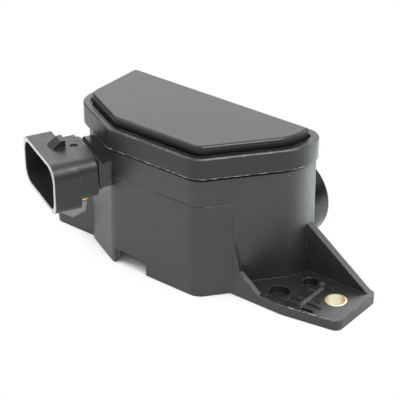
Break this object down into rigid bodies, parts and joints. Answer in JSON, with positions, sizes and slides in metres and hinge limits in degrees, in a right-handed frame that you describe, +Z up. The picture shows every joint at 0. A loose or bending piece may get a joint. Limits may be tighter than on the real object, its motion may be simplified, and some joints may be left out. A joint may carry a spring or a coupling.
{
  "type": "brake pedal switch",
  "caption": "Box-shaped rotary pedal switch with bolt ears, an angled plug connector, a flat raised cover and a sprung drive drum on its back.",
  "frame": {"origin": "midway between the two bolt holes, on the base plane", "axes": "+X along the bolts to the ear away from the connector, +Y to the drum side, +Z up"},
  "size_m": [0.137, 0.071, 0.0594],
  "materials": {
    "housing_plastic": "fine grain, matte",
    "cover_plastic": "fine grain, matte",
    "connector_plastic": "satin",
    "hub_plastic": "glossy",
    "carrier_plastic": "satin",
    "bearing_plastic": "satin",
    "seal_rubber": "matte",
    "bush_brass": "turned",
    "terminal_tin": "tinned, stamped",
    "washer_steel": "stamped",
    "spring_steel": "drawn wire",
    "contact_metal": "stamped, bright",
    "board_laminate": "solder-resist, satin",
    "track_carbon": "printed"
  },
  "bodies": {
    "case": {"connector_seal": "seal_rubber", "connector_shell": "connector_plastic", "cover": "cover_plastic", "cover_seal": "seal_rubber", "housing": "housing_plastic", "hub_bearing": "bearing_plastic", "hub_seal": "seal_rubber", "left_bush": "bush_brass", "return_spring": "spring_steel", "right_bush": "bush_brass", "terminal_1": "terminal_tin", "terminal_2": "terminal_tin", "terminal_3": "terminal_tin", "terminal_4": "terminal_tin", "terminal_5": "terminal_tin", "terminal_6": "terminal_tin", "track_1": "track_carbon", "track_2": "track_carbon", "track_board": "board_laminate"},
    "drive": {"drive_hub": "hub_plastic", "end_washer": "washer_steel", "wiper_carrier": "carrier_plastic", "wiper_brush_1": "contact_metal", "wiper_brush_2": "contact_metal"}
  },
  "joints": [
    {"name": "hub_turn", "type": "hinge", "parent": "case", "child": "drive", "pos_m": [0.0224, 0.0208, 0.0239], "axis": [0, 1, 0], "range_deg": [0, 50], "stiffness_Nm_per_rad": 0.12, "springref_deg": -57.3, "deforming": ["return_spring"]}
  ]
}
